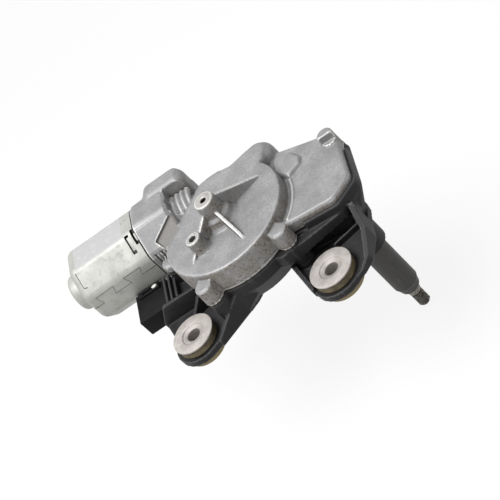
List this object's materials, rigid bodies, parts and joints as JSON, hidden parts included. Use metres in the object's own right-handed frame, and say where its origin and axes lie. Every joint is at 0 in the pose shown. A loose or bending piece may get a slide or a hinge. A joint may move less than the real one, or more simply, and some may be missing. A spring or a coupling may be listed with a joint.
{
  "type": "rear wiper gear motor",
  "caption": "Wiper gear motor: eight-sided motor can, die-cast worm gear housing on a black plastic tub with rubber-mounted eyes, and a long output spindle with a threaded end.",
  "frame": {"origin": "on the spindle axis, in the plane that the three mounting bushes stand on", "axes": "+Z away from the tailgate panel, along the spindle axis; +X along the motor axis from the can to the gearbox; the spindle points to -Z"},
  "size_m": [0.2006, 0.1506, 0.15],
  "materials": {
    "cast_aluminium": "rough die-cast, bare",
    "zinc_plated_steel": "zinc plated, satin",
    "black_plastic": "glass-filled, satin",
    "black_tube": "black coated, matte",
    "olive_rubber": "moulded, matte",
    "bush_metal": "plated, dull",
    "steel": "machined",
    "bearing_bronze": "sintered",
    "ferrite": "ground",
    "laminated_iron": "stacked sheet",
    "copper": "bright",
    "brown_card": "pressed board",
    "carbon": "sintered",
    "natural_nylon": "moulded"
  },
  "bodies": {
    "housing": {"gear_housing": "cast_aluminium", "lower_housing": "black_plastic", "housing_gasket": "olive_rubber", "motor_can": "zinc_plated_steel", "magnet_upper": "ferrite", "magnet_lower": "ferrite", "rear_bearing": "bearing_bronze", "front_bearing": "bearing_bronze", "worm_end_bearing": "bearing_bronze", "thrust_pad": "steel", "brush_plate": "brown_card", "carbon_brush_1": "carbon", "carbon_brush_2": "carbon", "brush_spring_1": "steel", "brush_spring_2": "steel", "wheel_axle": "steel", "wheel_clip": "steel", "contact_plate": "brown_card", "park_contact_1": "copper", "park_contact_2": "copper", "shaft_tube": "black_tube", "upper_shaft_bush": "bearing_bronze", "lower_shaft_bush": "bearing_bronze", "thrust_washer": "bearing_bronze", "connector_socket": "black_plastic", "grommet_left": "olive_rubber", "mount_bush_left": "bush_metal", "grommet_right": "olive_rubber", "mount_bush_right": "bush_metal", "grommet_rear": "olive_rubber", "mount_bush_rear": "bush_metal", "connector_terminal_1": "copper", "housing_screw_1": "steel", "connector_terminal_2": "copper", "housing_screw_2": "steel", "connector_terminal_3": "copper", "housing_screw_3": "steel", "connector_terminal_4": "copper", "housing_screw_4": "steel"},
    "armature": {"armature_shaft": "steel", "armature_core": "laminated_iron", "winding_front": "copper", "winding_rear": "copper", "commutator": "copper"},
    "wheel": {"worm_wheel": "natural_nylon", "crank_pin": "steel", "park_disc": "copper"},
    "rocker": {"output_shaft": "steel", "rocker_lever": "steel", "rocker_pin": "steel"},
    "link": {"connecting_link": "steel"}
  },
  "joints": [
    {"name": "armature_spin", "type": "hinge", "parent": "housing", "child": "armature", "pos_m": [-0.0575, 0.05265, 0.0302], "axis": [1, 0, 0], "range_deg": [0, 11340]},
    {"name": "wheel_spin", "type": "hinge", "parent": "housing", "child": "wheel", "pos_m": [-0.0575, 0.0125, 0.0302], "axis": [0, 0, 1], "range_deg": [0, 180]},
    {"name": "spindle_swing", "type": "hinge", "parent": "housing", "child": "rocker", "pos_m": [0, 0, 0.0179], "axis": [0, 0, 1], "range_deg": [0, 100]},
    {"name": "link_swing", "type": "hinge", "parent": "rocker", "child": "link", "pos_m": [0.0098, 0.00693, 0.0212], "axis": [0, 0, 1], "range_deg": [-100, 0]}
  ],
  "couplings": [
    {"joint": "wheel_spin", "follows": "armature_spin", "ratio": 0.015873},
    {"joint": "spindle_swing", "follows": "armature_spin", "ratio": 0.0088183},
    {"joint": "link_swing", "follows": "armature_spin", "ratio": -0.0088183}
  ]
}
